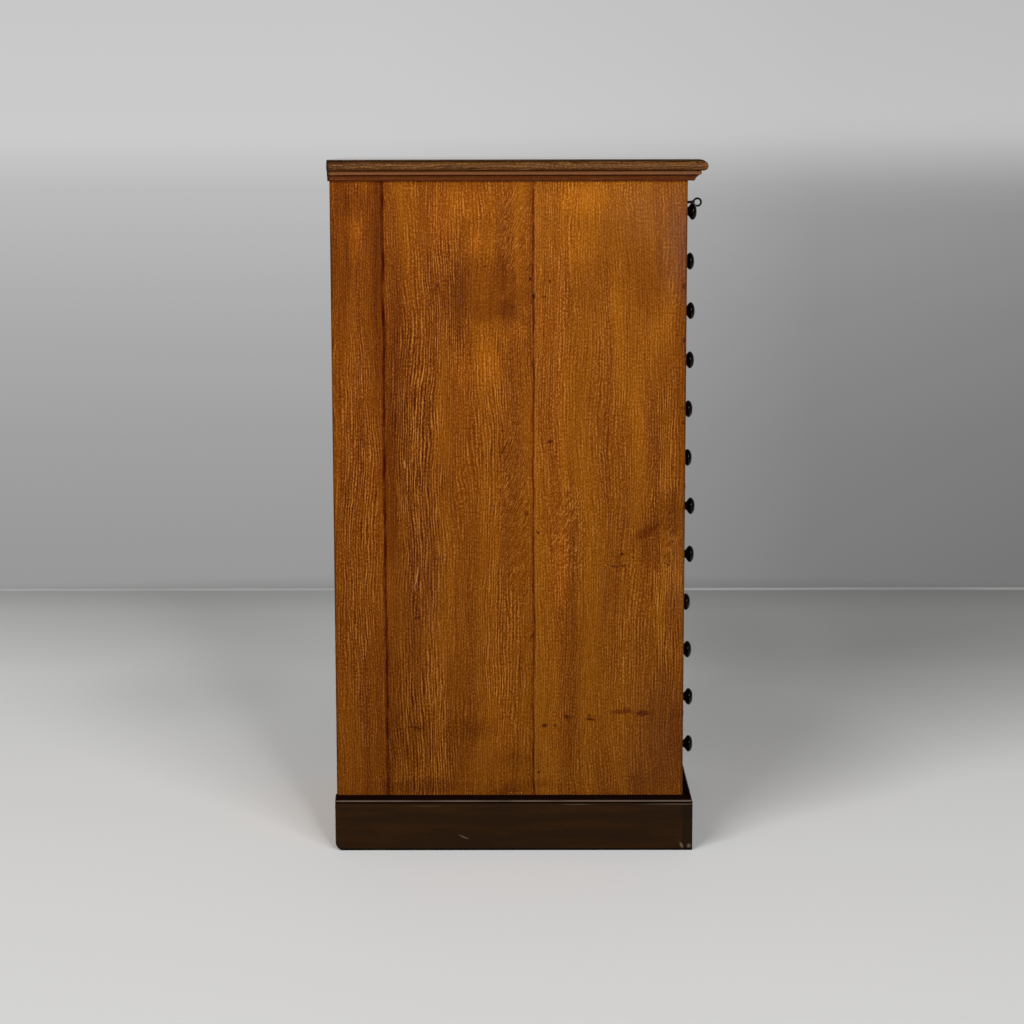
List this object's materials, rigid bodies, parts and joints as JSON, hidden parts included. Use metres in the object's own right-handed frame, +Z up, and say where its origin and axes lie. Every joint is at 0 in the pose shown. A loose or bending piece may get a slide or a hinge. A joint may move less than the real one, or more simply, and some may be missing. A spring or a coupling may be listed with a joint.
{
  "type": "eyeglass lens cabinet",
  "caption": "Tall narrow oak cabinet of shallow lens drawers with dark turned knobs, a moulded top, an ebonised plinth and a keyed lock in the top drawer.",
  "frame": {"origin": "centre of the footprint of the overall box, on the floor", "axes": "+Z up, -Y out of the drawer fronts, +X to the right of someone facing them"},
  "size_m": [0.454, 0.542, 1],
  "materials": {
    "oak": "varnished oak, orange-brown",
    "pine": "unfinished pale softwood",
    "ebonised_wood": "ebonised, semi-gloss",
    "iron": "blackened iron",
    "brass": "aged brass",
    "steel": "dull steel"
  },
  "bodies": {
    "carcass": {"back_boards": "pine", "back_nails": "steel", "carcass_bottom": "oak", "carcass_top": "pine", "cornice": "oak", "drawer_rails": "oak", "drawer_runners": "pine", "drawer_stops": "pine", "left_side": "oak", "plinth_back": "pine", "plinth_blocks": "pine", "plinth_front": "ebonised_wood", "plinth_left": "ebonised_wood", "plinth_right": "ebonised_wood", "right_side": "oak", "top_board": "oak", "top_kickers": "pine", "top_rail": "oak", "top_screws": "steel"},
    "drawer_01": {"drawer_01_front": "oak", "drawer_01_box": "pine", "drawer_01_knobs": "ebonised_wood", "lock_case": "brass", "lock_screws": "steel", "escutcheon": "brass"},
    "drawer_02": {"drawer_02_front": "oak", "drawer_02_box": "pine", "drawer_02_knobs": "ebonised_wood"},
    "drawer_03": {"drawer_03_front": "oak", "drawer_03_box": "pine", "drawer_03_knobs": "ebonised_wood"},
    "drawer_04": {"drawer_04_front": "oak", "drawer_04_box": "pine", "drawer_04_knobs": "ebonised_wood"},
    "drawer_05": {"drawer_05_front": "oak", "drawer_05_box": "pine", "drawer_05_knobs": "ebonised_wood"},
    "drawer_06": {"drawer_06_front": "oak", "drawer_06_box": "pine", "drawer_06_knobs": "ebonised_wood"},
    "drawer_07": {"drawer_07_front": "oak", "drawer_07_box": "pine", "drawer_07_knobs": "ebonised_wood"},
    "drawer_08": {"drawer_08_front": "oak", "drawer_08_box": "pine", "drawer_08_knobs": "ebonised_wood"},
    "drawer_09": {"drawer_09_front": "oak", "drawer_09_box": "pine", "drawer_09_knobs": "ebonised_wood"},
    "drawer_10": {"drawer_10_front": "oak", "drawer_10_box": "pine", "drawer_10_knobs": "ebonised_wood"},
    "drawer_11": {"drawer_11_front": "oak", "drawer_11_box": "pine", "drawer_11_knobs": "ebonised_wood"},
    "drawer_12": {"drawer_12_front": "oak", "drawer_12_box": "pine", "drawer_12_knobs": "ebonised_wood"},
    "key": {"key": "iron"},
    "lock_bolt": {"lock_bolt": "brass"}
  },
  "joints": [
    {"name": "drawer_01_slide", "type": "slide", "parent": "carcass", "child": "drawer_01", "axis": [0, -1, 0], "range_m": [0, 0.4]},
    {"name": "drawer_02_slide", "type": "slide", "parent": "carcass", "child": "drawer_02", "axis": [0, -1, 0], "range_m": [0, 0.4]},
    {"name": "drawer_03_slide", "type": "slide", "parent": "carcass", "child": "drawer_03", "axis": [0, -1, 0], "range_m": [0, 0.4]},
    {"name": "drawer_04_slide", "type": "slide", "parent": "carcass", "child": "drawer_04", "axis": [0, -1, 0], "range_m": [0, 0.4]},
    {"name": "drawer_05_slide", "type": "slide", "parent": "carcass", "child": "drawer_05", "axis": [0, -1, 0], "range_m": [0, 0.4]},
    {"name": "drawer_06_slide", "type": "slide", "parent": "carcass", "child": "drawer_06", "axis": [0, -1, 0], "range_m": [0, 0.4]},
    {"name": "drawer_07_slide", "type": "slide", "parent": "carcass", "child": "drawer_07", "axis": [0, -1, 0], "range_m": [0, 0.4]},
    {"name": "drawer_08_slide", "type": "slide", "parent": "carcass", "child": "drawer_08", "axis": [0, -1, 0], "range_m": [0, 0.4]},
    {"name": "drawer_09_slide", "type": "slide", "parent": "carcass", "child": "drawer_09", "axis": [0, -1, 0], "range_m": [0, 0.4]},
    {"name": "drawer_10_slide", "type": "slide", "parent": "carcass", "child": "drawer_10", "axis": [0, -1, 0], "range_m": [0, 0.4]},
    {"name": "drawer_11_slide", "type": "slide", "parent": "carcass", "child": "drawer_11", "axis": [0, -1, 0], "range_m": [0, 0.4]},
    {"name": "drawer_12_slide", "type": "slide", "parent": "carcass", "child": "drawer_12", "axis": [0, -1, 0], "range_m": [0, 0.4]},
    {"name": "key_turn", "type": "hinge", "parent": "drawer_01", "child": "key", "pos_m": [0, -0.235, 0.9345], "axis": [0, 1, 0], "range_deg": [0, 180]},
    {"name": "lock_bolt_slide", "type": "slide", "parent": "drawer_01", "child": "lock_bolt", "axis": [0, 0, 1], "range_m": [0, 0.006]}
  ],
  "couplings": [
    {"joint": "key_turn", "follows": "lock_bolt_slide", "rad_per_m": 523.59}
  ]
}
